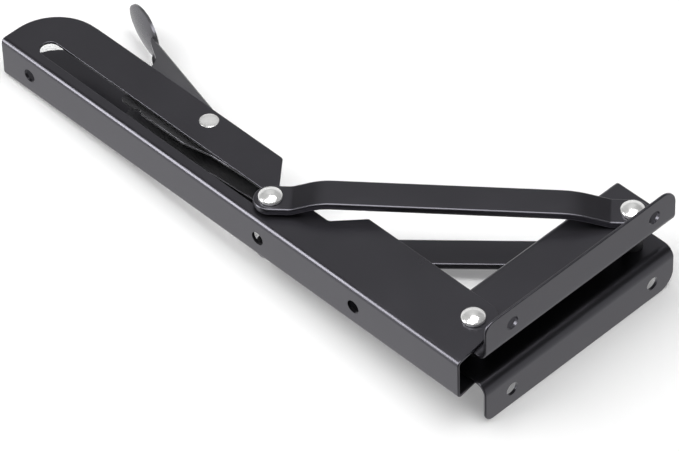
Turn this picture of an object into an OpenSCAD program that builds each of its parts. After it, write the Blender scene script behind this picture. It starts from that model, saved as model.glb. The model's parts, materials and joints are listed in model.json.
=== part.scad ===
// Folding shelf bracket, open and locked, lying on its side.
// Z = 0 is the middle plane of the bracket. The wall face is the plane X = 0 and
// the shelf arm points along -X. The origin lies in the middle of the four wall screws.
// Modules are drawn in bench coordinates: [distance from the wall, depth below the
// shelf, height], and seat() turns them into the part's frame.

/* [Sheet] */
// Thickness of the folded sheet of both arms
sheet = 1.5; // [1.2:0.1:2]
// Outer radius of the tight folds
fold_r = 2.6; // [2.2:0.1:3.2]
// Side gap between the wall arm and the shelf arm that holds it
side_gap = 0.3; // [0.2:0.05:0.5]
// Running gap round a pin
pin_gap = 0.06; // [0.03:0.01:0.1]
// Gap between flat faces that turn on each other
face_gap = 0.05; // [0.02:0.01:0.1]

/* [Shelf arm] */
// Length of the shelf arm
arm_len = 301; // [292:1:340]
// Width over the two flanges
arm_w = 22.7; // [21:0.1:26]
// Depth of the flanges below the shelf
arm_depth = 36.5; // [35.5:0.5:40]
// Gap between the wall and the end of the shelf arm
wall_gap = 6.2; // [5:0.1:7.5]
// Radius of the rounded tip
tip_r = 25.5; // [18:0.1:26]
// Depth of the slot's middle line below the shelf
slot_depth = 11.5; // [10.5:0.1:12.5]
// Width of the slot
slot_w = 9.8; // [8.6:0.1:10]
// Slot left beyond the slide pin when the bracket is folded
slot_overrun = 6; // [1:0.1:8]
// Diameter of the screw holes under the shelf
shelf_hole_d = 7; // [4:0.5:8]
// Distance of the first shelf screw from the wall end of the arm
shelf_hole_1 = 65.8; // [50:0.1:80]
// Distance of the second shelf screw
shelf_hole_2 = 127.5; // [110:0.1:140]
// Distance of the third shelf screw from the tip
shelf_hole_3_tip = 19.1; // [12:0.1:30]
// Length of the notch's floor, which the folded stay ends lie over
notch_floor = 32; // [31:0.5:36]
// How far each side of the notch slopes along the arm
notch_flare = 12; // [10:0.5:14]
// Length of the notch's floor on the wall side of the folded stay pivot
notch_lead = 6.9; // [6.5:0.1:9]
// Room between the notch's floor and the folded stay ends
notch_room = 3; // [2:0.1:4]
// Radius of the notch's inner corners
notch_r = 3; // [1:0.5:4]

/* [Hinge] */
// Distance of the hinge pin from the wall end of the arm
hinge_inset = 14.8; // [14:0.1:16]
// Depth of the hinge pin below the shelf
hinge_depth = 24.7; // [24:0.1:26]
// Diameter of the hinge rivet's shank
hinge_pin_d = 6.5; // [5:0.1:7]
// Fold angle at which the bracket lies flat
fold_max = 88; // [80:1:88]

/* [Wall arm] */
// Length of the wall arm
wall_len = 122.2; // [121:0.1:126]
// Distance of the wall arm's top below the shelf
wall_top = 11; // [9:0.1:12]
// Distance of the wall arm's inner face from the wall
wall_depth = 36.7; // [34:0.1:38]
// Width over the two wall flanges
wall_span = 61.2; // [54:0.2:70]
// Inner radius of the folds at the wall flanges
lip_fold_r = 4.5; // [3.5:0.1:5]
// Corner radius of the wall flanges at the shelf end
lip_corner_top = 5; // [1:0.5:8]
// Corner radius of the wall flanges at the far end
lip_corner_end = 9; // [1:0.5:12]
// Distance between wall screws along the wall arm
wall_hole_run = 91.2; // [80:0.1:95]
// Distance between wall screws across the bracket
wall_hole_span = 42.2; // [40:0.1:46]
// Distance of the first wall screw from the wall arm's top
wall_hole_inset = 16.9; // [12:0.1:18]
// Diameter of the wall screw holes
wall_hole_d = 7; // [4:0.5:8]

/* [Stays] */
// Width of a stay
stay_w = 16; // [14:0.1:16.2]
// Thickness of a stay
stay_t = 3.8; // [3:0.1:4]
// Distance of the lower stay pivot from the wall
pivot_wall = 15.2; // [15:0.1:16]
// Distance of the lower stay pivot from the hinge pin, along the wall
pivot_drop = 96.6; // [96:0.1:98]
// Distance of the slide pin from the hinge pin, along the shelf arm
slide_out = 115.4; // [115:0.1:117]
// Height of the stay's raised run above the shelf arm's flange, at the slide pin's end
stay_raise = 5.6; // [4:0.1:7]
// How much lower the raised run is at the wall's end
stay_fall = 2.6; // [0:0.1:3]
// Height of the stay's end above the shelf arm's flange, on the slide bush
stay_seat = 1.15; // [1.15:0.05:1.6]
// Diameter of the lower stay rivet's shank
stay_pin_d = 6; // [5:0.1:7]
// Diameter of the slide pin
slide_pin_d = 6; // [5:0.1:6.2]
// Diameter of the slide bush's collar
bush_collar_d = 13; // [11:0.5:15]

/* [Rivet heads] */
// Diameter of the large rivet heads
head_d = 11.3; // [9:0.1:13]
// Straight rim of a large head
head_rim = 1.5; // [0.5:0.1:2]
// Height of a large head's dome above its rim
head_dome = 2; // [1:0.1:3]
// Diameter of the lever rivet's heads
small_head_d = 9.2; // [7:0.1:10]
// Rim of a lever rivet head
small_head_rim = 0.25; // [0.1:0.05:0.3]
// Dome of a lever rivet head
small_head_dome = 0.6; // [0.4:0.05:0.6]

/* [Release lever] */
// Distance of the lever rivet from the wall end of the arm
lever_out = 190.3; // [188:0.1:192]
// Distance of the lever rivet from the free edge of the flange
lever_edge = 6.5; // [6:0.1:7.5]
// Outer width of the lever
lever_w = 12.7; // [11:0.1:14]
// Thickness of the lever's sheet
lever_t = 1.2; // [1:0.1:1.5]
// Distance of the lever's back from its rivet
lever_back = 8.4; // [8:0.1:10]
// Slope of the lever's back out of the shelf arm
lever_slope = 14.2; // [12:0.1:15]
// Gap between the sliding pin and the lever's cheeks
lever_gap = 0.4; // [0.3:0.1:1.2]
// Diameter of the lever rivet's shank
lever_pin_d = 5; // [4:0.1:5.5]
// Distance of the finger rest's tip from the lever rivet
lever_reach = 96.4; // [92:0.1:100]
// Length of the spoon-shaped finger rest
spoon_len = 32; // [28:0.5:36]
// Width of the finger rest
spoon_w = 22.2; // [16:0.2:24]
// Bend radius of its dish across
spoon_cross_r = 26; // [20:1:40]
// Bend radius of its dish along
spoon_long_r = 75; // [60:1:120]
// Wire of the lever's spring
wire_d = 0.9; // [0.6:0.1:1]

/* [Hidden] */
smooth = 96;

// Heights above the middle plane
arm_side = arm_w / 2;
plate_side = arm_side - sheet - side_gap;
lever_side = lever_w / 2;

// Places in bench coordinates
hinge = [wall_gap + hinge_inset, hinge_depth];
pivot = [pivot_wall, hinge_depth + pivot_drop];
slide = [hinge[0] + slide_out, slot_depth];
lever_pin = [wall_gap + lever_out, arm_depth - lever_edge];
stay_run = pivot - slide;
stay_len = norm(stay_run);
stay_angle = atan2(stay_run[1], stay_run[0]);
wall_hole_mid = wall_top + wall_hole_inset + wall_hole_run / 2;

// Travel of the slide pin between open and folded flat
pivot_r = norm(pivot - hinge);
pivot_open = atan2(pivot[1] - hinge[1], pivot[0] - hinge[0]);
pivot_flat = hinge + pivot_r * [cos(pivot_open - fold_max), sin(pivot_open - fold_max)];
slide_flat = pivot_flat[0] + sqrt(pow(stay_len, 2) - pow(pivot_flat[1] - slot_depth, 2));
slot_end = slide_flat + slot_overrun;

// Sizes shared by the small parts
slide_gap = 0.15;
collar_gap = 0.3;
bush_d = slot_w - 2 * slide_gap;
bush_collar_t = stay_seat - collar_gap - face_gap;
lever_fold_r = lever_t + 0.9;
spacer_d = 8.4;
spacer_wall_d = 10;
// Length of a cut that goes right through the bracket
through = 2 * wall_span;

module seat() {
    translate([0, -wall_hole_mid, 0]) mirror([1, 0, 0]) children();
}

module both_sides() {
    children();
    mirror([0, 0, 1]) children();
}

// Points that round one corner of an outline given as [x, y, radius]
function round_corner(p, q, r, steps = 6) =
    let (
        b = [q[0], q[1]],
        u = ([p[0], p[1]] - b) / norm([p[0], p[1]] - b),
        w = ([r[0], r[1]] - b) / norm([r[0], r[1]] - b),
        half = acos(u * w) / 2,
        mid = (u + w) / norm(u + w),
        centre = b + mid * q[2] / sin(half),
        from = b + u * q[2] / tan(half) - centre,
        to = b + w * q[2] / tan(half) - centre,
        start = atan2(from[1], from[0]),
        raw = atan2(to[1], to[0]) - start,
        sweep = raw > 180 ? raw - 360 : raw < -180 ? raw + 360 : raw
    )
    q[2] == 0 ? [b] : [for (i = [0:steps])
        centre + q[2] * [cos(start + sweep * i / steps), sin(start + sweep * i / steps)]];

// A closed outline with its corners rounded
function rounded(points, steps = 6) =
    let (n = len(points))
    [for (i = [0:n - 1])
        each round_corner(points[(i + n - 1) % n], points[i], points[(i + 1) % n], steps)];

module rivet_head(d, rim, dome) {
    ball_r = (pow(d / 2, 2) + pow(dome, 2)) / (2 * dome);
    intersection() {
        cylinder(d = d, h = rim + dome, $fn = smooth);
        translate([0, 0, rim + dome - ball_r]) sphere(r = ball_r, $fn = 2 * smooth);
    }
}

module ring(d, bore, h) {
    difference() {
        cylinder(d = d, h = h, $fn = smooth);
        translate([0, 0, -1]) cylinder(d = bore, h = h + 2, $fn = smooth);
    }
}

// Fills an outline in [distance, height] and runs it along the wall arm
module along_wall(start, length) {
    translate([0, start + length, 0]) rotate([90, 0, 0]) linear_extrude(length) children();
}

// Fills an outline in [depth, height] and runs it along the shelf arm
module along_arm(start, length) {
    translate([start, 0, 0]) rotate([90, 0, 90]) linear_extrude(length) children();
}

module pin_hole(place, d) {
    translate([place[0], place[1], -through / 2]) cylinder(d = d, h = through, $fn = smooth);
}

module folded_block(depth, width, r) {
    translate([r, -width / 2]) square([depth - r, width]);
    translate([0, r - width / 2]) square([r, width - 2 * r]);
    for (side = [-1, 1])
        translate([r, side * (width / 2 - r)]) circle(r = r, $fn = smooth);
}

module channel_section(depth, width, wall, r) {
    difference() {
        folded_block(depth, width, r);
        translate([wall, 0]) folded_block(depth, width - 2 * wall, r - wall);
    }
}

module arm_outline() {
    end_r = arm_depth - hinge_depth;
    corner = [wall_gap, 0];
    reach = norm(hinge - corner);
    lean = atan2(hinge[1], hinge_inset) + asin(end_r / reach);
    touch = corner + sqrt(pow(reach, 2) - pow(end_r, 2)) * [cos(lean), sin(lean)];
    sharp = corner + (touch - corner) * arm_depth / touch[1];
    arm_end = wall_gap + arm_len;
    difference() {
        polygon([corner, sharp, [arm_end, arm_depth], [arm_end, 0]]);
        difference() {
            polygon([hinge, [hinge[0], arm_depth + 1], [0, arm_depth + 1], 2 * touch - hinge]);
            translate(hinge) circle(r = end_r, $fn = smooth);
        }
        translate([arm_end - tip_r, arm_depth - tip_r]) difference() {
            square(tip_r + 1);
            circle(r = tip_r, $fn = 2 * smooth);
        }
    }
}

module slot_outline() {
    translate([slide[0], slot_depth - slot_w / 2]) square([slot_end - slide[0], slot_w]);
    for (a = [slide[0], slot_end])
        translate([a, slot_depth]) circle(d = slot_w, $fn = smooth);
}

module notch_outline() {
    floor_start = pivot_flat[0] - notch_lead;
    floor_end = floor_start + notch_floor;
    floor_depth = pivot_flat[1] - stay_w / 2 - notch_room;
    spread = notch_flare * (arm_depth + 1 - floor_depth) / (arm_depth - floor_depth);
    polygon(rounded([
        [floor_start - spread, arm_depth + 1, 0],
        [floor_start, floor_depth, notch_r],
        [floor_end, floor_depth, notch_r],
        [floor_end + spread, arm_depth + 1, 0]
    ]));
}

module shelf_arm() {
    color("#2b2b2e") seat() difference() {
        intersection() {
            along_arm(0, wall_gap + arm_len + 1)
                channel_section(arm_depth + 1, arm_w, sheet, fold_r);
            translate([0, 0, -arm_w]) linear_extrude(2 * arm_w) difference() {
                arm_outline();
                slot_outline();
                notch_outline();
            }
        }
        pin_hole(hinge, hinge_pin_d + 2 * pin_gap);
        pin_hole(lever_pin, lever_pin_d + 2 * pin_gap);
        for (a = [shelf_hole_1, shelf_hole_2, arm_len - shelf_hole_3_tip])
            translate([wall_gap + a, -1, 0]) rotate([-90, 0, 0])
                cylinder(d = shelf_hole_d, h = sheet + 2, $fn = smooth);
    }
}

module quarter_fold(outer, wall) {
    difference() {
        intersection() {
            circle(r = outer, $fn = smooth);
            square(outer);
        }
        circle(r = outer - wall, $fn = smooth);
    }
}

// One half of the wall arm's hat section, in [distance, height]
module wall_section() {
    lip_end = sheet + lip_fold_r;
    lip_side = plate_side + lip_fold_r;
    fold_a = wall_depth - fold_r;
    translate([lip_end, plate_side - sheet]) square([fold_a - lip_end, sheet]);
    translate([wall_depth - sheet, 0]) square([sheet, plate_side - fold_r]);
    translate([fold_a, plate_side - fold_r]) quarter_fold(fold_r, sheet);
    translate([lip_end, lip_side]) rotate(180) quarter_fold(lip_end, sheet);
    translate([0, lip_side]) square([sheet, wall_span / 2 - lip_side]);
}

// What rounds a corner of a wall flange; inward is 1 at the shelf end, -1 at the far end
module lip_corner(depth, inward, r) {
    translate([-1, 0, 0]) rotate([90, 0, 90]) linear_extrude(sheet + 2)
        translate([depth + inward * r, wall_span / 2 - r]) difference() {
            mirror([inward > 0 ? 1 : 0, 0]) square(r + 1);
            circle(r = r, $fn = smooth);
        }
}

module wall_arm() {
    color("#2b2b2e") seat() difference() {
        along_wall(wall_top, wall_len) {
            wall_section();
            mirror([0, 1]) wall_section();
        }
        pin_hole(hinge, hinge_pin_d + 2 * pin_gap);
        pin_hole(pivot, stay_pin_d + 2 * pin_gap);
        both_sides() {
            lip_corner(wall_top, 1, lip_corner_top);
            lip_corner(wall_top + wall_len, -1, lip_corner_end);
            for (i = [0, 1])
                translate([-1, wall_top + wall_hole_inset + i * wall_hole_run, wall_hole_span / 2])
                    rotate([0, 90, 0]) cylinder(d = wall_hole_d, h = sheet + 2, $fn = smooth);
        }
    }
}

// Heights of the stay's underside above the middle plane
stay_low = plate_side + face_gap;
stay_end_low = arm_side + stay_seat;
stay_run_low = arm_side + stay_raise;
// Flat ends and joggles along the stay, from each rivet, and the radii of their bends
slide_flat_len = 9.5;
slide_joggle = 13;
pivot_flat_len = 9.7;
pivot_joggle = 16.5;
crisp_r = 4;
joggle_r = 9;
easy_r = 30;
soft_r = 50;

module stay_profile() {
    under = [
        [-stay_w, stay_end_low, 0],
        [slide_flat_len, stay_end_low, joggle_r],
        [slide_flat_len + slide_joggle, stay_run_low, easy_r],
        [stay_len - pivot_flat_len - pivot_joggle, stay_run_low - stay_fall, soft_r],
        [stay_len - pivot_flat_len, stay_low, crisp_r],
        [stay_len + stay_w, stay_low, 0]
    ];
    n = len(under);
    polygon(rounded([
        each under,
        for (i = [n - 1:-1:0]) [under[i][0], under[i][1] + stay_t, under[i][2]]
    ]));
}

module stay() {
    translate(slide) rotate(stay_angle) difference() {
        intersection() {
            rotate([90, 0, 0]) linear_extrude(2 * stay_w, center = true) stay_profile();
            linear_extrude(through) {
                circle(d = stay_w, $fn = smooth);
                translate([stay_len, 0]) circle(d = stay_w, $fn = smooth);
                translate([0, -stay_w / 2]) square([stay_len, stay_w]);
            }
        }
        cylinder(d = slide_pin_d + 2 * pin_gap, h = through, $fn = smooth);
        translate([stay_len, 0, 0]) cylinder(d = stay_pin_d + 2 * pin_gap, h = through, $fn = smooth);
    }
}

module upper_stay() {
    color("#2b2b2e") seat() stay();
}

module lower_stay() {
    color("#2b2b2e") seat() mirror([0, 0, 1]) stay();
}

module through_rivet(place, shank_d, base, d, rim, dome) {
    translate(place) {
        translate([0, 0, -base]) cylinder(d = shank_d, h = 2 * base, $fn = smooth);
        both_sides() translate([0, 0, base]) rivet_head(d, rim, dome);
    }
}

module hinge_rivet() {
    color("#d9dadb") seat()
        through_rivet(hinge, hinge_pin_d, arm_side, head_d, head_rim, head_dome);
}

module stay_rivet() {
    color("#d9dadb") seat()
        through_rivet(pivot, stay_pin_d, stay_low + stay_t + face_gap, head_d, head_rim, head_dome);
}

module lever_rivet() {
    color("#d9dadb") seat()
        through_rivet(lever_pin, lever_pin_d, arm_side,
            small_head_d, small_head_rim, small_head_dome);
}

module plate_spacer(place, shank_d) {
    half = plate_side - sheet - face_gap;
    translate([place[0], place[1], -half]) ring(spacer_wall_d, shank_d + 2 * pin_gap, 2 * half);
}

module hinge_spacer() {
    color("#555659") seat() plate_spacer(hinge, hinge_pin_d);
}

module stay_spacer() {
    color("#555659") seat() plate_spacer(pivot, stay_pin_d);
}

bush_top = arm_side + face_gap + bush_collar_t;

module slide_pin() {
    color("#b9babc") seat() translate([slide[0], slide[1], -bush_top])
        cylinder(d = slide_pin_d, h = 2 * bush_top, $fn = smooth);
}

module slide_bush() {
    bore = slide_pin_d + 2 * pin_gap;
    translate(slide) difference() {
        union() {
            translate([0, 0, arm_side - sheet])
                cylinder(d = bush_d, h = sheet + face_gap + bush_collar_t, $fn = smooth);
            translate([0, 0, arm_side + face_gap])
                cylinder(d = bush_collar_d, h = bush_collar_t, $fn = smooth);
        }
        cylinder(d = bore, h = 2 * bush_top, $fn = smooth);
    }
}

module upper_slide_bush() {
    color("#3a3a3c") seat() slide_bush();
}

module lower_slide_bush() {
    color("#3a3a3c") seat() mirror([0, 0, 1]) slide_bush();
}

module slide_rivet() {
    translate([slide[0], slide[1], stay_end_low]) {
        cylinder(d = slide_pin_d, h = stay_t, $fn = smooth);
        translate([0, 0, stay_t]) rivet_head(head_d, head_rim, head_dome);
    }
}

module upper_slide_rivet() {
    color("#d9dadb") seat() slide_rivet();
}

module lower_slide_rivet() {
    color("#d9dadb") seat() mirror([0, 0, 1]) slide_rivet();
}

// The lever's cheeks: catch at the slide pin, waist, belly beside the slot, tapered end
catch_start = 1;
catch_len = 6.5;
catch_drop = 5.2;
catch_slope = 4.5;
catch_tip_r = 1;
catch_root_r = 4;
waist_back = 13;
waist_drop = 3.4;
waist_r = 8;
belly_lead = 2;
belly_r = 12;
cheek_end = 43.8;
cheek_corner_r = 1.5;
dent_out = 32.4;
dent_d = 4.6;
dent_depth = 1.1;
// The taper is given from the neck of the finger rest, along the lever's back and across it
neck_out = lever_reach - spoon_len;
taper_start = [neck_out - 10.9, 1.5];
taper_start_r = 6;
taper_bend = [neck_out + 2.6, 5.3];
taper_bend_r = 10;
taper_end = [neck_out + 9.6, 12.3];
// The back runs from beyond the catch to under the finger rest
back_lead = 15;
back_under_rest = 8;
past_arm = 30;
spring_arm = 14;

// A place given along the lever's back from its rivet, and across it
function lever_at(along, across) =
    lever_pin + [
        along * cos(lever_slope) - across * sin(lever_slope),
        along * sin(lever_slope) + across * cos(lever_slope)
    ];

function with_r(p, r) = [p[0], p[1], r];

module cheek_outline() {
    near = slot_depth + slide_pin_d / 2 + lever_gap;
    nose = slide[0] + slide_pin_d / 2 + catch_start;
    over = arm_depth + past_arm;
    difference() {
        polygon(rounded([
            [nose, near, catch_tip_r],
            [nose + catch_len, near, catch_tip_r],
            [nose + catch_len + catch_slope, near + catch_drop, catch_root_r],
            [lever_pin[0] - waist_back, near + waist_drop, waist_r],
            [lever_pin[0] + belly_lead, near, belly_r],
            [lever_pin[0] + cheek_end, near, cheek_corner_r],
            with_r(lever_at(taper_start[0], taper_start[1]), taper_start_r),
            with_r(lever_at(taper_bend[0], taper_bend[1]), taper_bend_r),
            with_r(lever_at(taper_end[0], taper_end[1]), 0),
            [lever_at(taper_end[0], taper_end[1])[0], over, 0],
            [nose, over, 0]
        ]));
        translate([lever_pin[0] + dent_out, near + dent_depth - dent_d / 2]) circle(d = dent_d, $fn = smooth);
    }
}

// Outline of the finger rest: half an oval to the neck and half an oval to the tip
function leaf(neck_len, tip_len, width, steps = 24) =
    [for (i = [0:2 * steps - 1])
        let (angle = 180 * i / steps, reach = cos(angle) > 0 ? tip_len : neck_len)
        [reach * cos(angle), width / 2 * sin(angle)]];

// The finger rest's widest and deepest places, as shares of its length
neck_share = 0.47;
deep_share = 0.67;
dish_sink = 0.2;

// A dish that is hollow on its outer side
module finger_rest() {
    neck_len = spoon_len * neck_share;
    deep = lever_reach - spoon_len * deep_share;
    translate(lever_pin) rotate(lever_slope) intersection() {
        translate([deep, lever_back - dish_sink + spoon_long_r, 0]) rotate_extrude($fn = 2 * smooth)
            translate([spoon_long_r - spoon_cross_r, 0]) difference() {
                circle(r = spoon_cross_r + lever_t, $fn = 2 * smooth);
                circle(r = spoon_cross_r, $fn = 2 * smooth);
            }
        translate([neck_out + neck_len, lever_back + spoon_w / 2, 0]) rotate([90, 0, 0])
            linear_extrude(spoon_w) polygon(leaf(neck_len, spoon_len - neck_len, spoon_w));
    }
}

module release_lever() {
    back_start = slide[0] - lever_pin[0] - back_lead;
    back_end = neck_out + back_under_rest;
    color("#4c4c50") seat() difference() {
        union() {
            intersection() {
                translate(lever_pin) rotate(lever_slope) translate([0, lever_back, 0])
                    mirror([0, 1, 0]) along_arm(back_start, back_end - back_start)
                        channel_section(arm_depth + past_arm, lever_w, lever_t, lever_fold_r);
                translate([0, 0, -lever_w]) linear_extrude(2 * lever_w) cheek_outline();
            }
            finger_rest();
        }
        pin_hole(lever_pin, lever_pin_d + 2 * pin_gap);
        translate([lever_pin[0] + spring_arm, lever_pin[1] - coil_r, -lever_side - 1])
            cylinder(d = wire_d + wire_hole_room, h = lever_t + 2, $fn = smooth);
    }
}

module lever_spacer() {
    low = lever_side + face_gap;
    high = arm_side - sheet - face_gap;
    translate([lever_pin[0], lever_pin[1], low]) ring(spacer_d, lever_pin_d + 2 * pin_gap, high - low);
}

module upper_lever_spacer() {
    color("#555659") seat() lever_spacer();
}

module lower_lever_spacer() {
    color("#555659") seat() mirror([0, 0, 1]) lever_spacer();
}

// Spring: wound round the lower spacer, one leg over the flange's edge, one in the lever
wire_gap = 0.15;
wire_hole_room = 0.4;
coil_r = spacer_d / 2 + 2 * wire_gap + wire_d / 2;
coil_turns = 2.25;
coil_low = -(arm_side - sheet - wire_gap - wire_d / 2);
coil_high = -(lever_side + wire_gap + wire_d / 2);
hook_out = lever_edge + wire_gap + wire_d / 2;
wire_bend_r = 0.7;
wire_lean = 3;
wire_sides = 8;

// A right-angled bend that leaves the coil's plane, and the short leg after it
function bent_leg(corner, along, up, length) =
    let (start = corner - wire_bend_r * along + [0, 0, up * wire_bend_r])
    [
        for (i = [0:4])
            let (angle = (90 - wire_lean) * i / 4)
            start + wire_bend_r * (sin(angle) * along - [0, 0, up * cos(angle)]),
        start + wire_bend_r * along + length * [along[0] * sin(wire_lean),
            along[1] * sin(wire_lean), up * cos(wire_lean)]
    ];

function reversed(list) = [for (i = [len(list) - 1:-1:0]) list[i]];

function coil_path() = [
    each reversed(bent_leg([-coil_r, hook_out, coil_low], [0, 1, 0], -1, sheet + wire_d)),
    for (i = [0:24 * coil_turns])
        let (turn = i / 24, angle = 180 + 360 * turn)
        [coil_r * cos(angle), coil_r * sin(angle),
            coil_low + (coil_high - coil_low) * turn / coil_turns],
    each bent_leg([spring_arm, -coil_r, coil_high], [1, 0, 0], 1, lever_t + wire_d)
];

function unit(v) = v / norm(v);

function wire_ring(path, i) =
    let (
        before = path[max(i - 1, 0)],
        after = path[min(i + 1, len(path) - 1)],
        along = unit(after - before),
        side = unit(cross(along, [0, 0, 1])),
        up = cross(along, side)
    )
    [for (k = [0:wire_sides - 1])
        path[i] + wire_d / 2 * (cos(360 * k / wire_sides) * side + sin(360 * k / wire_sides) * up)];

module lever_spring() {
    path = coil_path();
    n = len(path);
    points = [for (i = [0:n - 1]) each wire_ring(path, i)];
    color("#9a9b9d") seat() translate(lever_pin) polyhedron(points, [
        [for (k = [0:wire_sides - 1]) k],
        [for (k = [wire_sides - 1:-1:0]) (n - 1) * wire_sides + k],
        for (i = [0:n - 2], k = [0:wire_sides - 1])
            let (a = i * wire_sides, b = a + wire_sides, m = (k + 1) % wire_sides)
            [a + k, b + k, b + m, a + m]
    ]);
}

shelf_arm();
wall_arm();
upper_stay();
lower_stay();
hinge_rivet();
hinge_spacer();
stay_rivet();
stay_spacer();
slide_pin();
upper_slide_bush();
lower_slide_bush();
upper_slide_rivet();
lower_slide_rivet();
release_lever();
lever_rivet();
upper_lever_spacer();
lower_lever_spacer();
lever_spring();
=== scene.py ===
import json
import math

import bmesh
import bpy
from bpy.props import FloatProperty, FloatVectorProperty, PointerProperty
from mathutils import Matrix, Vector


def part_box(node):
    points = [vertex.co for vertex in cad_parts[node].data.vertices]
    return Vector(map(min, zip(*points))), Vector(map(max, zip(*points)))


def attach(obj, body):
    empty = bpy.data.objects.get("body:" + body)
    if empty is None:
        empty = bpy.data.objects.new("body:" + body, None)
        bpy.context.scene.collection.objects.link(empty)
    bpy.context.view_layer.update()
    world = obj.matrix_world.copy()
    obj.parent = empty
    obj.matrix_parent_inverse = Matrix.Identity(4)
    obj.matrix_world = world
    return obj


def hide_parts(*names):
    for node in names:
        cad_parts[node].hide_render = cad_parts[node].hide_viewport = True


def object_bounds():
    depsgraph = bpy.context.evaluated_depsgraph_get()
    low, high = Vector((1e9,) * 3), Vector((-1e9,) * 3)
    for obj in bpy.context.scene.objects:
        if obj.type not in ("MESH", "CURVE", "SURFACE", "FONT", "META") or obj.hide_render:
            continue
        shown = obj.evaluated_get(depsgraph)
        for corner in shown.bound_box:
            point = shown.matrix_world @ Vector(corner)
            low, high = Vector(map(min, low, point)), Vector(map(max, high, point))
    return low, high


bl_info = {
    "name": "Folding Shelf Bracket",
    "version": (1, 0, 0),
    "blender": (4, 5, 0),
    "location": "3D View > Sidebar > Bracket",
    "description": "Finishes a folding shelf bracket and sets it in a light studio",
    "category": "Object",
}

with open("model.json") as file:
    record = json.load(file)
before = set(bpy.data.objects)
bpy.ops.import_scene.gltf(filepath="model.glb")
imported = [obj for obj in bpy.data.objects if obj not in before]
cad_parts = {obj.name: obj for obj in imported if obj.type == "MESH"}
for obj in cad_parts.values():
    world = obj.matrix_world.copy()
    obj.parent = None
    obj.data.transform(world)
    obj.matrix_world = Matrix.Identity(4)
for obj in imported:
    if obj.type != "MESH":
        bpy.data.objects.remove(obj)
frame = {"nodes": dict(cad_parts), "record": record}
cad_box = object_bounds()
body_of_node = {
    node: body
    for body, nodes in frame["record"]["behaviour"]["bodies"].items()
    for node in nodes
}

COATED_SHEETS = ("shelf_arm", "wall_arm", "upper_stay", "lower_stay")
SPACERS = ("hinge_spacer", "stay_spacer", "upper_lever_spacer", "lower_lever_spacer")
BUSHES = ("upper_slide_bush", "lower_slide_bush")

# Lengths are in metres throughout

# Each rivet's shank radius, and the way its one head faces; None is a head at each end
RIVETS = {
    "hinge_rivet": (0.00325, None),
    "stay_rivet": (0.003, None),
    "lever_rivet": (0.0025, None),
    "upper_slide_rivet": (0.003, 1.0),
    "lower_slide_rivet": (0.003, -1.0),
}
# How far a head's dome rises above its rim; the lever's rivet has low heads
DOME_RISE, LOW_DOME_RISE = 0.002, 0.0006
LOW_RIVET = "lever_rivet"
DOME_STEPS = 14
# The most of a rim's height that its rounding may take
RIM_SHARE = 0.45

# An edge that turns by more than this was cut, not bent
CUT_ANGLE = math.radians(40.0)
# A ring of cut edges that is shorter than this is a hole
LONGEST_HOLE_RIM = 0.03
# The share of the rounding that is given to holes, the slots' inner ends and the finger rest
SLIGHT = 0.03
# How far a slot's inner end reaches from the axis of the slide rivets
SLOT_END_REACH = 0.0075
# How far the finger rest and the belly reach in from the lever's outer end
FINGER_REST_REACH = 0.063
# The lever's coat is smoother than the arms' by this much
LEVER_SMOOTHER = 0.08

# Where the parts of the light tent begin and end, as shares of the direction looked in:
# its walls by height, its open side by how near it is to the camera's side, its dimmer half by
# the way that the wall arm runs from the hinge, and its panel by how far it is from its middle
WALL_EDGE = (0.45, 0.2)
OPEN_SIDE_EDGE = (0.55, 0.2)
DIM_HALF_EDGE = (-0.4, 0.4)
DIM_HALF_LEVEL = 0.72
PANEL_EDGE = (math.cos(math.radians(24.0)), math.cos(math.radians(9.0)))

# Each lamp's place, and its width and height; all of them aim at one point
LAMPS = {
    "key_softbox": ((-0.6, -0.65, 1.15), (0.7, 0.7)),
    "glint_softbox": ((0.02, -0.6, 1.1), (0.8, 0.6)),
    "overhead_softbox": ((0.02, 0.06, 1.15), (0.75, 0.75)),
    "edge_softbox": ((-0.92, -1.06, 0.66), (0.5, 0.9)),
}
LAMP_AIM = Vector((-0.13, -0.02, 0.0))
NOT_MIRRORED = ("key_softbox",)
ONLY_MIRRORED = ("glint_softbox", "edge_softbox")

WHITE = (1.0, 1.0, 1.0, 1.0)
FLOOR_GAP = 0.0001
CAMERA_AIM = Vector((-0.1127, -0.0309, 0.0))
# How far the camera stands to the left of its aim, and below it
CAMERA_SHIFT = (0.0079, 0.00525)


class CoatSettings(bpy.types.PropertyGroup):
    arm_colour: FloatVectorProperty(
        name="Arm colour", description="Colour of the powder coat on the arms and stays",
        default=(0.0077, 0.0074, 0.0085), size=3, min=0.0, max=1.0, subtype="COLOR")
    lever_colour: FloatVectorProperty(
        name="Lever colour", description="Colour of the coat on the release lever",
        default=(0.052, 0.052, 0.054), size=3, min=0.0, max=1.0, subtype="COLOR")
    gloss: FloatProperty(
        name="Roughness", description="Mean roughness of the powder coat",
        default=0.3, min=0.05, max=1.0, subtype="FACTOR")
    shine: FloatProperty(
        name="Shine", description="Strength of the coat's mirror-like reflection",
        default=0.95, min=0.0, max=1.0, subtype="FACTOR")
    peel: FloatProperty(
        name="Peel size", description="Size of the ripples that the coat dries with",
        default=0.0011, min=0.0002, max=0.01, unit="LENGTH", subtype="DISTANCE")
    edge: FloatProperty(
        name="Edge rounding", description="Radius that the coat gives to a cut edge",
        default=0.0005, min=0.0, max=0.0006, unit="LENGTH", subtype="DISTANCE")
    stay_edge: FloatProperty(
        name="Stay edge rounding", description="Radius of the edges of the thick stays",
        default=0.001, min=0.0, max=0.0015, unit="LENGTH", subtype="DISTANCE")
    lever_edge: FloatProperty(
        name="Lever edge rounding", description="Radius of the lever's cut edges",
        default=0.0004, min=0.0, max=0.0005, unit="LENGTH", subtype="DISTANCE")


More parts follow.
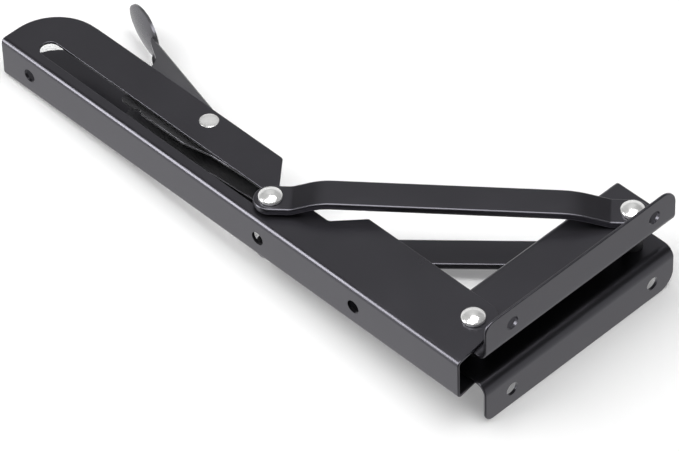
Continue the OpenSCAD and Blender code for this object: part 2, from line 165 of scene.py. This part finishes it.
class RivetSettings(bpy.types.PropertyGroup):
    plate_colour: FloatVectorProperty(
        name="Plate colour", description="Colour of the rivets' zinc plate",
        default=(0.93, 0.93, 0.92), size=3, min=0.0, max=1.0, subtype="COLOR")
    polish: FloatProperty(
        name="Roughness", description="Roughness of the polished heads",
        default=0.16, min=0.0, max=1.0, subtype="FACTOR")
    metal: FloatProperty(
        name="Metallic share",
        description="How far the plate mirrors, against the pale bloom on it",
        default=0.6, min=0.0, max=1.0, subtype="FACTOR")
    rim: FloatProperty(
        name="Rim", description="Height of the straight rim of a large head",
        default=0.0015, min=0.0002, max=0.002, unit="LENGTH", subtype="DISTANCE")
    small_rim: FloatProperty(
        name="Small rim", description="Height of the rim of the lever rivet's heads",
        default=0.00025, min=0.0001, max=0.0003, unit="LENGTH", subtype="DISTANCE")
    rim_rounding: FloatProperty(
        name="Rim rounding", description="Radius that the rim is turned to",
        default=0.0004, min=0.0, max=0.0006, unit="LENGTH", subtype="DISTANCE")


class StudioSettings(bpy.types.PropertyGroup):
    azimuth: FloatProperty(
        name="Azimuth", description="Direction of the camera round the bracket",
        default=math.radians(46.8), subtype="ANGLE", unit="ROTATION")
    elevation: FloatProperty(
        name="Elevation", description="Height of the camera above the horizon",
        default=math.radians(44.9), subtype="ANGLE", unit="ROTATION")
    roll: FloatProperty(
        name="Roll", description="Turn of the picture about the line of sight",
        default=math.radians(-1.8), subtype="ANGLE", unit="ROTATION")
    distance: FloatProperty(
        name="Distance", description="Distance of the camera",
        default=2.235, min=0.1, unit="LENGTH", subtype="DISTANCE")
    lens: FloatProperty(
        name="Lens", description="Focal length of the camera, in millimetres",
        default=260.6, min=10.0, unit="CAMERA")
    key_power: FloatProperty(
        name="Key light", description="Power of the light that falls on the floor, in watts",
        default=9.4, min=0.0, unit="POWER")
    glint_power: FloatProperty(
        name="Glint light", description="Power of the light that the near edges show, in watts",
        default=10.0, min=0.0, unit="POWER")
    overhead_power: FloatProperty(
        name="Overhead light", description="Power of the soft light above the bracket, in watts",
        default=9.0, min=0.0, unit="POWER")
    side_power: FloatProperty(
        name="Edge light", description="Power of the soft light that draws the folds, in watts",
        default=15.0, min=0.0, unit="POWER")
    fill: FloatProperty(
        name="Fill", description="Strength of the even light that falls from all round",
        default=0.27, min=0.0, max=1.0, subtype="FACTOR")
    sky: FloatProperty(
        name="Tent", description="Strength of the light tent above the bracket",
        default=0.07, min=0.0, max=1.0, subtype="FACTOR")
    panel: FloatProperty(
        name="Panel", description="Strength of the tent's panel beyond the bracket",
        default=0.34, min=0.0, max=1.0, subtype="FACTOR")
    floor_glow: FloatProperty(
        name="Floor glow", description="Share of plain white in the floor's look",
        default=0.2, min=0.0, max=1.0, subtype="FACTOR")


def deselect_all():
    if bpy.context.object and bpy.context.object.mode != "OBJECT":
        bpy.ops.object.mode_set(mode="OBJECT")
    bpy.ops.object.select_all(action="DESELECT")


def make_active(piece):
    deselect_all()
    piece.select_set(True)
    bpy.context.view_layer.objects.active = piece


def wear_only(piece, material):
    piece.data.materials.clear()
    piece.data.materials.append(material)


def add(tree, kind, inputs=None, **settings):
    """A new shader node. An input is given a value, or the output that feeds it."""
    node = tree.nodes.new(kind)
    for key, value in settings.items():
        setattr(node, key, value)
    for key, value in (inputs or {}).items():
        if isinstance(value, bpy.types.NodeSocket):
            tree.links.new(value, node.inputs[key])
        else:
            node.inputs[key].default_value = value
    return node


def noise(tree, place, scale, detail=2.0):
    node = add(tree, "ShaderNodeTexNoise", {"Vector": place, "Scale": scale, "Detail": detail})
    return node.outputs["Fac"]


def bump(tree, height, strength, distance, **below):
    node = add(tree, "ShaderNodeBump", {
        "Height": height, "Strength": strength, "Distance": distance, **below})
    return node.outputs["Normal"]


def spread(tree, value, onto=(0.0, 1.0), span=(0.0, 1.0), curve="LINEAR"):
    """`value` carried from `span` onto the span `onto`, and held within it."""
    node = add(tree, "ShaderNodeMapRange", {
        "Value": value, "From Min": span[0], "From Max": span[1],
        "To Min": onto[0], "To Max": onto[1]}, interpolation_type=curve)
    return node.outputs["Result"]


def combine(tree, operation, first, second):
    node = add(tree, "ShaderNodeMath", {0: first, 1: second}, operation=operation)
    return node.outputs["Value"]


def tones(tree, value, colour, dark, pale, span=(0.0, 1.0)):
    """`colour` from `dark` to `pale` times its strength, as `value` crosses `span`."""
    ramp = add(tree, "ShaderNodeValToRGB", {"Fac": value})
    for stop, position, strength in zip(ramp.color_ramp.elements, span, (dark, pale)):
        stop.position = position
        stop.color = [*(min(1.0, strength * channel) for channel in colour), 1.0]
    return ramp.outputs["Color"]


def new_material(name):
    """A material with an empty node tree, that tree, and the Object coordinates in it."""
    material = bpy.data.materials.new(name)
    material.use_nodes = True
    tree = material.node_tree
    tree.nodes.clear()
    return material, tree, add(tree, "ShaderNodeTexCoord").outputs["Object"]


def principled(tree, inputs):
    """A Principled shader with these inputs, as the material's surface."""
    shader = add(tree, "ShaderNodeBsdfPrincipled", inputs)
    add(tree, "ShaderNodeOutputMaterial", {"Surface": shader.outputs["BSDF"]})


def powder_coat(name, colour, roughness, coat):
    """A sprayed and baked coat: slow ripples, a fine grain and a slightly uneven sheen."""
    material, tree, place = new_material(name)
    uneven = 0.05
    grains_to_a_ripple = 4.0
    cloud = noise(tree, place, scale=45.0, detail=3.0)
    ripple = noise(tree, place, scale=1.0 / coat.peel)
    grain = noise(tree, place, scale=grains_to_a_ripple / coat.peel)
    soft = bump(tree, ripple, strength=0.2, distance=0.00006)
    principled(tree, {
        "IOR": 1.55,
        "Specular IOR Level": coat.shine,
        "Specular Tint": (0.9, 0.88, 1.0, 1.0),
        "Base Color": tones(tree, cloud, colour, dark=0.85, pale=1.2, span=(0.3, 0.75)),
        "Roughness": spread(tree, cloud, (roughness - uneven, roughness + uneven)),
        "Normal": bump(tree, grain, strength=0.15, distance=0.00002, Normal=soft),
    })
    return material


def bare_metal(name, colour, polish, scratch=0.0, metallic=1.0):
    """Metal with an uneven polish and, where `scratch` says so, fine marks."""
    material, tree, place = new_material(name)
    haze = noise(tree, place, scale=500.0, detail=4.0)
    smoothest, dullest = max(0.02, polish - 0.04), polish + 0.06
    inputs = {
        "Metallic": metallic,
        "Base Color": tones(tree, haze, colour, dark=0.9, pale=1.05),
        "Roughness": spread(tree, haze, (smoothest, dullest)),
    }
    if scratch:
        marks = noise(tree, place, scale=2500.0)
        inputs["Normal"] = bump(tree, marks, strength=scratch, distance=0.00003)
    principled(tree, inputs)
    return material


def moulded_plastic(name, colour):
    """Plastic with the fine, dull grain of its mould."""
    material, tree, place = new_material(name)
    grain = noise(tree, place, scale=1800.0)
    principled(tree, {
        "Base Color": [*colour, 1.0],
        "Roughness": spread(tree, grain, (0.5, 0.65)),
        "Normal": bump(tree, grain, strength=0.2, distance=0.00005),
    })
    return material


def white_paper(glow_share):
    """Matt white that the camera sees with a share of plain white mixed in."""
    material, tree, _ = new_material("white_paper")
    matt = add(tree, "ShaderNodeBsdfDiffuse", {"Color": (0.97, 0.97, 0.97, 1.0)})
    glow = add(tree, "ShaderNodeEmission", {"Color": WHITE})
    seen = add(tree, "ShaderNodeLightPath").outputs["Is Camera Ray"]
    blend = add(tree, "ShaderNodeMixShader", {
        "Fac": combine(tree, "MULTIPLY", seen, glow_share),
        1: matt.outputs["BSDF"], 2: glow.outputs["Emission"]})
    add(tree, "ShaderNodeOutputMaterial", {"Surface": blend.outputs["Shader"]})
    return material


def merged_copy(prefix, node):
    """A CAD node's mesh as a new piece, its doubled corners merged. It is left in edit mode."""
    piece = bpy.data.objects.new(prefix + node, frame["nodes"][node].data.copy())
    bpy.context.scene.collection.objects.link(piece)
    make_active(piece)
    bpy.ops.object.mode_set(mode="EDIT")
    bpy.ops.mesh.select_all(action="SELECT")
    bpy.ops.mesh.remove_doubles(threshold=0.000002)
    return piece


def apply_modifier(piece, name, kind, **settings):
    modifier = piece.modifiers.new(name, kind)
    for key, value in settings.items():
        setattr(modifier, key, value)
    bpy.ops.object.modifier_apply(modifier=modifier.name)


def ring_of(first, waiting):
    """The edges of `waiting` that join on to `first`, taken out of it."""
    ring, reached = [first], [first]
    while reached:
        for corner in reached.pop().verts:
            for edge in corner.link_edges:
                if edge in waiting:
                    waiting.discard(edge)
                    ring.append(edge)
                    reached.append(edge)
    return ring


def weigh_cut_edges(mesh, wide):
    """Give cut edges the full rounding where `wide` says so, and other edges and holes a touch."""
    shape = bmesh.new()
    shape.from_mesh(mesh)
    weight = shape.edges.layers.float.new("bevel_weight_edge")
    waiting = {edge for edge in shape.edges if edge.calc_face_angle(0.0) > CUT_ANGLE}
    while waiting:
        ring = ring_of(waiting.pop(), waiting)
        is_hole = sum(edge.calc_length() for edge in ring) < LONGEST_HOLE_RIM
        for edge in ring:
            start, end = (corner.co for corner in edge.verts)
            edge[weight] = 1.0 if wide(start, end) and not is_hole else SLIGHT
    shape.to_mesh(mesh)
    shape.free()


def coated_copy(node, edge, wide):
    """The folded sheet of a CAD node with its cut edges rounded as the coat rounds them."""
    piece = merged_copy("coated_", node)
    bpy.ops.mesh.dissolve_limited(angle_limit=math.radians(1.0))
    bpy.ops.object.mode_set(mode="OBJECT")
    weigh_cut_edges(piece.data, wide)
    apply_modifier(
        piece, "rounded edges", "BEVEL", width=edge, segments=2, limit_method="WEIGHT",
        miter_outer="MITER_ARC", use_clamp_overlap=False)
    bpy.ops.object.shade_smooth_by_angle(angle=math.radians(50.0))
    apply_modifier(
        piece, "flat faces stay flat", "WEIGHTED_NORMAL", mode="FACE_AREA", weight=100,
        keep_sharp=True)
    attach(piece, body_of_node[node])
    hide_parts(node)
    return piece


class BRACKET_OT_coat(bpy.types.Operator):
    """Round the cut edges of the arms and stays and give them their powder coat"""
    bl_idname = "bracket.coat"
    bl_label = "Coat the arms and stays"

    def execute(self, context):
        coat = context.scene.bracket_coat
        finish = powder_coat("black_powder_coat", coat.arm_colour, coat.gloss, coat)
        low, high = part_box("upper_slide_rivet")
        pivot = (low + high) / 2.0

        def past_slot_end(start, end):
            return ((start + end) / 2.0 - pivot).xy.length > SLOT_END_REACH

        for node in COATED_SHEETS:
            edge = coat.stay_edge if node.endswith("stay") else coat.edge
            piece = coated_copy(node, edge, past_slot_end)
            wear_only(piece, finish)
        return {"FINISHED"}


class BRACKET_OT_lever(bpy.types.Operator):
    """Round the cut edges of the release lever and give it its grey coat"""
    bl_idname = "bracket.lever"
    bl_label = "Coat the release lever"

    def execute(self, context):
        coat = context.scene.bracket_coat
        finish = powder_coat("lever_coat", coat.lever_colour, coat.gloss - LEVER_SMOOTHER, coat)
        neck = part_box("release_lever")[0].x + FINGER_REST_REACH

        def past_finger_rest(start, end):
            return min(start.x, end.x) > neck

        piece = coated_copy("release_lever", coat.lever_edge, past_finger_rest)
        wear_only(piece, finish)
        return {"FINISHED"}


def head_rings(low, radius, rim, rise):
    """Rings of a domed head, from its seat up: the straight rim, then a cap of a ball."""
    ball = (radius ** 2 + rise ** 2) / (2.0 * rise)
    lean = math.asin(radius / ball)
    rings = [(radius, low), (radius, low + rim)]
    for step in range(1, DOME_STEPS):
        tilt = lean * (1.0 - step / DOME_STEPS)
        rings.append((ball * math.sin(tilt), low + rim + rise - ball * (1.0 - math.cos(tilt))))
    return rings


def rivet_rings(low, high, shank, facing, rim, rise):
    """Rings of a rivet, with a head at each end or one at the end that it faces."""
    radius = (high.x - low.x) / 2.0
    if facing is None:
        top = head_rings(high.z - rim - rise, radius, rim, rise)
        under = [(wide, low.z + high.z - up) for wide, up in reversed(top)]
        return [*under, (shank, under[-1][1]), (shank, top[0][1]), *top]
    foot, tip = (low.z, high.z) if facing > 0.0 else (high.z, low.z)
    top = head_rings(facing * tip - rim - rise, radius, rim, rise)
    rings = [(shank, facing * foot), (shank, top[0][1]), *top]
    return [(wide, facing * up) for wide, up in rings]


def turned(name, axis, rings, rounding):
    """A turned piece: a disc drawn out ring by ring, with its corners rounded."""
    deselect_all()
    (radius, height), *others = rings
    bpy.ops.mesh.primitive_circle_add(
        vertices=96, radius=radius, fill_type="NGON", location=(axis[0], axis[1], height))
    piece = bpy.context.object
    piece.name = name
    bpy.ops.object.mode_set(mode="EDIT")
    for wide, high in others:
        bpy.ops.mesh.extrude_region_move(
            TRANSFORM_OT_translate={"value": (0.0, 0.0, high - height)})
        bpy.ops.transform.resize(
            value=(wide / radius, wide / radius, 1.0), center_override=(axis[0], axis[1], high))
        radius, height = wide, high
    bpy.ops.mesh.select_all(action="SELECT")
    bpy.ops.mesh.remove_doubles(threshold=0.000001)
    bpy.ops.mesh.normals_make_consistent(inside=False)
    bpy.ops.object.mode_set(mode="OBJECT")
    bpy.ops.object.transform_apply(location=True, rotation=True, scale=True)
    apply_modifier(
        piece, "turned corners", "BEVEL", width=rounding, segments=4, limit_method="ANGLE",
        angle_limit=math.radians(25.0))
    bpy.ops.object.shade_smooth()
    apply_modifier(piece, "flat faces stay flat", "WEIGHTED_NORMAL", weight=80)
    return piece


class BRACKET_OT_rivets(bpy.types.Operator):
    """Turn the rivets with their domed heads and plate them"""
    bl_idname = "bracket.rivets"
    bl_label = "Turn and plate the rivets"

    def execute(self, context):
        rivet = context.scene.bracket_rivet
        finish = bare_metal("bright_zinc", rivet.plate_colour, rivet.polish, metallic=rivet.metal)
        for node, (shank, facing) in RIVETS.items():
            low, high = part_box(node)
            rim, rise = rivet.rim, DOME_RISE
            if node == LOW_RIVET:
                rim, rise = rivet.small_rim, LOW_DOME_RISE
            rings = rivet_rings(low, high, shank, facing, rim, rise)
            rounding = min(rivet.rim_rounding, RIM_SHARE * rim)
            piece = turned("turned_" + node, (low + high) / 2.0, rings, rounding)
            wear_only(piece, finish)
            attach(piece, body_of_node[node])
            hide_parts(node)
        return {"FINISHED"}


class BRACKET_OT_inner_parts(bpy.types.Operator):
    """Finish the pin, spacers, bushes and spring inside the bracket"""
    bl_idname = "bracket.inner_parts"
    bl_label = "Finish the inner parts"

    def execute(self, context):
        steel = bare_metal("dark_zinc", (0.3, 0.3, 0.31), polish=0.4, scratch=0.15)
        for node in (*SPACERS, "slide_pin"):
            wear_only(frame["nodes"][node], steel)
        nylon = moulded_plastic("black_nylon", (0.02, 0.02, 0.021))
        for node in BUSHES:
            wear_only(frame["nodes"][node], nylon)
        wire = bare_metal("spring_wire", (0.5, 0.5, 0.5), polish=0.3, scratch=0.1)
        spring = drawn_wire("lever_spring")
        wear_only(spring, wire)
        return {"FINISHED"}


def drawn_wire(node):
    """The spring of a CAD node as round drawn wire."""
    piece = merged_copy("drawn_", node)
    bpy.ops.mesh.tris_convert_to_quads(
        face_threshold=math.radians(60.0), shape_threshold=math.radians(60.0))
    bpy.ops.object.mode_set(mode="OBJECT")
    apply_modifier(piece, "round wire", "SUBSURF", levels=1, render_levels=1)
    bpy.ops.object.shade_smooth()
    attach(piece, body_of_node[node])
    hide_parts(node)
    return piece


def toward_camera(azimuth, elevation=0.0):
    level = math.cos(elevation)
    return Vector((
        math.sin(azimuth) * level, -math.cos(azimuth) * level, math.sin(elevation)))


def lay_floor(studio):
    """Lay white paper under the bracket, which rests on its lower wall flange and on its tip."""
    lip_low, tip = cad_box[0].z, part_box("shelf_arm")[0]
    lean = math.atan2(tip.z - lip_low, -tip.x)
    deselect_all()
    bpy.ops.mesh.primitive_grid_add(x_subdivisions=8, y_subdivisions=8, size=12.0)
    floor = bpy.context.object
    floor.name = "floor"
    bpy.ops.object.mode_set(mode="EDIT")
    bpy.ops.transform.rotate(value=-lean, orient_axis="Y", center_override=(0.0, 0.0, 0.0))
    bpy.ops.transform.translate(value=(0.0, 0.0, lip_low - FLOOR_GAP))
    bpy.ops.object.mode_set(mode="OBJECT")
    wear_only(floor, white_paper(studio.floor_glow))
    floor.visible_glossy = False


def tent_light(tree, studio):
    """An even fill that falls on things, and the tent that polished surfaces show.

    The tent is white low down except on the camera's side, has one soft panel beyond the
    bracket, and is dim elsewhere.
    """
    back = toward_camera(studio.azimuth, studio.elevation)
    near = toward_camera(studio.azimuth)
    way = add(tree, "ShaderNodeTexCoord").outputs["Generated"]
    part = add(tree, "ShaderNodeSeparateXYZ", {"Vector": way}).outputs

    def along(axis):
        node = add(tree, "ShaderNodeVectorMath", {0: way, 1: axis}, operation="DOT_PRODUCT")
        return node.outputs["Value"]

    def soft_step(value, span, onto=(0.0, 1.0)):
        return spread(tree, value, onto, span, "SMOOTHSTEP")

    closed = soft_step(along(near), OPEN_SIDE_EDGE)
    dimmer = soft_step(part["Y"], DIM_HALF_EDGE, (1.0, DIM_HALF_LEVEL))
    walls = combine(
        tree, "MULTIPLY", soft_step(part["Z"], WALL_EDGE),
        combine(tree, "MULTIPLY", closed, dimmer))
    panel = soft_step(along((-back.x, -back.y, back.z)), PANEL_EDGE, (0.0, studio.panel))
    level = spread(tree, combine(tree, "MAXIMUM", walls, panel), (studio.sky, 1.0))
    rays = add(tree, "ShaderNodeLightPath").outputs
    mirrored = combine(tree, "MAXIMUM", rays["Is Glossy Ray"], rays["Is Transmission Ray"])
    return spread(tree, mirrored, (studio.fill, level))


def raise_tent(scene, studio):
    """Put the light tent round the bracket, and plain white where the camera looks past it."""
    world = bpy.data.worlds.new("light_tent")
    world.use_nodes = True
    scene.world = world
    tree = world.node_tree
    tree.nodes.clear()
    tent = add(tree, "ShaderNodeBackground", {
        "Color": WHITE, "Strength": tent_light(tree, studio)})
    backdrop = add(tree, "ShaderNodeBackground", {"Color": WHITE})
    blend = add(tree, "ShaderNodeMixShader", {
        "Fac": add(tree, "ShaderNodeLightPath").outputs["Is Camera Ray"],
        1: tent.outputs["Background"], 2: backdrop.outputs["Background"]})
    add(tree, "ShaderNodeOutputWorld", {"Surface": blend.outputs["Shader"]})


def hang_lamp(scene, name, power):
    place, (width, height) = LAMPS[name]
    light = bpy.data.lights.new(name, "AREA")
    light.shape = "RECTANGLE"
    light.size, light.size_y = width, height
    light.energy = power
    lamp = bpy.data.objects.new(name, light)
    lamp.location = place
    lamp.rotation_mode = "QUATERNION"
    lamp.rotation_quaternion = (LAMP_AIM - Vector(place)).to_track_quat("-Z", "Y")
    lamp.visible_glossy = name not in NOT_MIRRORED
    lamp.visible_diffuse = name not in ONLY_MIRRORED
    scene.collection.objects.link(lamp)


def place_camera(scene, studio):
    """Stand the camera where the photograph was taken from."""
    back = toward_camera(studio.azimuth, studio.elevation)
    side = Vector((math.cos(studio.azimuth), math.sin(studio.azimuth), 0.0))
    rise = back.cross(side)
    turn = Matrix.Rotation(studio.roll, 3, back)
    side, rise = turn @ side, turn @ rise
    lens = bpy.data.cameras.new("photo_lens")
    lens.sensor_width = 36.0
    lens.sensor_fit = "HORIZONTAL"
    lens.lens = studio.lens
    lens.clip_end = 50.0
    camera = bpy.data.objects.new("photo_camera", lens)
    scene.collection.objects.link(camera)
    left, down = CAMERA_SHIFT
    place = CAMERA_AIM - left * side - down * rise + studio.distance * back
    camera.matrix_world = Matrix((
        (side.x, rise.x, back.x, place.x),
        (side.y, rise.y, back.y, place.y),
        (side.z, rise.z, back.z, place.z),
        (0.0, 0.0, 0.0, 1.0)))
    scene.camera = camera


class BRACKET_OT_studio(bpy.types.Operator):
    """Build the pale floor, the light tent, the lamps and the camera"""
    bl_idname = "bracket.studio"
    bl_label = "Build the studio"

    def execute(self, context):
        scene = context.scene
        studio = scene.bracket_studio
        lay_floor(studio)
        raise_tent(scene, studio)
        hang_lamp(scene, "key_softbox", studio.key_power)
        hang_lamp(scene, "glint_softbox", studio.glint_power)
        hang_lamp(scene, "overhead_softbox", studio.overhead_power)
        hang_lamp(scene, "edge_softbox", studio.side_power)
        place_camera(scene, studio)
        scene.view_settings.view_transform = "Standard"
        return {"FINISHED"}


class BRACKET_PT_panel(bpy.types.Panel):
    """Lists the steps that finish the bracket"""
    bl_idname = "BRACKET_PT_panel"
    bl_label = "Folding Shelf Bracket"
    bl_space_type = "VIEW_3D"
    bl_region_type = "UI"
    bl_category = "Bracket"

    def draw(self, context):
        layout = self.layout
        scene = context.scene
        for heading, group, steps in (
            ("Coat", scene.bracket_coat, ("bracket.coat", "bracket.lever")),
            ("Rivets and inner parts", scene.bracket_rivet,
             ("bracket.rivets", "bracket.inner_parts")),
            ("Studio", scene.bracket_studio, ("bracket.studio",)),
        ):
            box = layout.box()
            box.label(text=heading)
            for name in group.__annotations__:
                box.prop(group, name)
            for step in steps:
                box.operator(step)


CLASSES = (
    CoatSettings, RivetSettings, StudioSettings,
    BRACKET_OT_coat, BRACKET_OT_lever, BRACKET_OT_rivets, BRACKET_OT_inner_parts,
    BRACKET_OT_studio, BRACKET_PT_panel,
)


def register():
    for cls in CLASSES:
        bpy.utils.register_class(cls)
    bpy.types.Scene.bracket_coat = PointerProperty(type=CoatSettings)
    bpy.types.Scene.bracket_rivet = PointerProperty(type=RivetSettings)
    bpy.types.Scene.bracket_studio = PointerProperty(type=StudioSettings)


def unregister():
    del bpy.types.Scene.bracket_studio
    del bpy.types.Scene.bracket_rivet
    del bpy.types.Scene.bracket_coat
    for cls in reversed(CLASSES):
        bpy.utils.unregister_class(cls)


def main():
    register()
    bpy.ops.bracket.studio()
    bpy.ops.bracket.coat()
    bpy.ops.bracket.lever()
    bpy.ops.bracket.rivets()
    bpy.ops.bracket.inner_parts()


if __name__ == "__main__":
    main()
